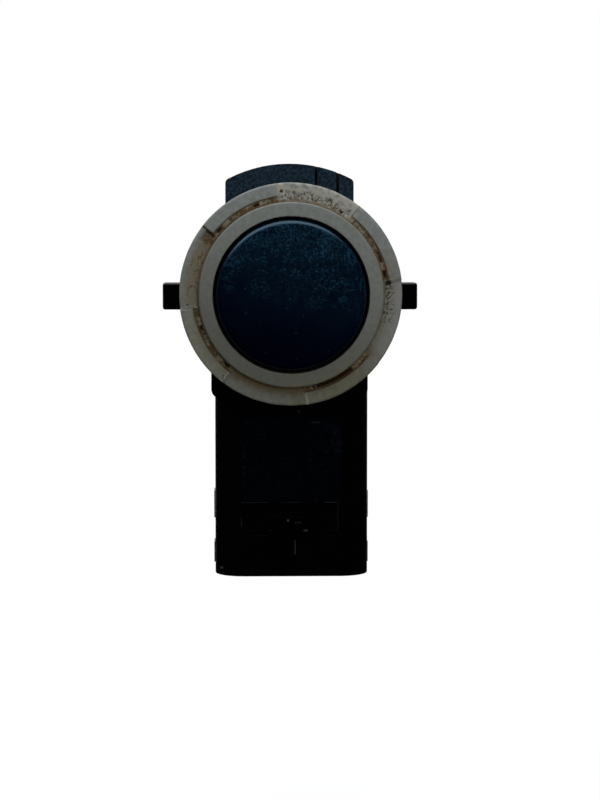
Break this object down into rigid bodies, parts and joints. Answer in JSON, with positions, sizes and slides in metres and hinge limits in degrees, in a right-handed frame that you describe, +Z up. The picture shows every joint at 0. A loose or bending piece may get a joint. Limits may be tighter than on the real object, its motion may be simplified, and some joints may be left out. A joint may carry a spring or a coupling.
{
  "type": "parking sensor",
  "caption": "Ultrasonic parking sensor: round painted sensing face in a grey silicone ring, black moulded body with side lugs and a plug socket pointing down.",
  "frame": {"origin": "centre of the front face of the round sensing membrane", "axes": "-Y out of the sensing face, +Z up with the plug socket pointing down along -Z, +X to the right seen from in front"},
  "size_m": [0.0268, 0.0213, 0.0443],
  "materials": {
    "housing_plastic": "near-black glass-filled plastic, satin, with a spark-eroded hood face",
    "membrane_paint": "dark blue body paint with fine dust",
    "silicone": "grey silicone, satin, brown dirt in the groove",
    "piezo_ceramic": "fired ceramic with a thin electrode",
    "foam": "open-cell foam",
    "potting": "cast soft resin",
    "tinned_copper": "tin plated",
    "board": "green solder mask",
    "component_black": "moulded black resin",
    "component_tan": "fired ceramic body",
    "ferrite": "sintered ferrite",
    "copper_wire": "enamelled copper"
  },
  "bodies": {
    "root": {"membrane_cup": "membrane_paint", "decoupling_ring": "silicone", "housing": "housing_plastic", "rear_cover": "housing_plastic", "piezo_disc": "piezo_ceramic", "damping_foam": "foam", "cup_potting": "potting", "contact_carrier": "component_black", "contact_pin_left": "tinned_copper", "contact_pin_right": "tinned_copper", "piezo_lead_left": "tinned_copper", "piezo_lead_right": "tinned_copper", "circuit_board": "board", "driver_chip": "component_black", "transformer_base": "component_black", "transformer_core": "ferrite", "transformer_winding": "copper_wire", "filter_capacitor_1": "component_tan", "filter_capacitor_2": "component_tan", "filter_capacitor_3": "component_tan", "filter_capacitor_4": "component_tan", "resistor_1": "component_black", "resistor_2": "component_black", "resistor_3": "component_black", "resistor_4": "component_black", "bulk_capacitor": "component_tan", "clamp_diode": "component_black", "terminal_left": "tinned_copper", "terminal_middle": "tinned_copper", "terminal_right": "tinned_copper"}
  },
  "joints": []
}
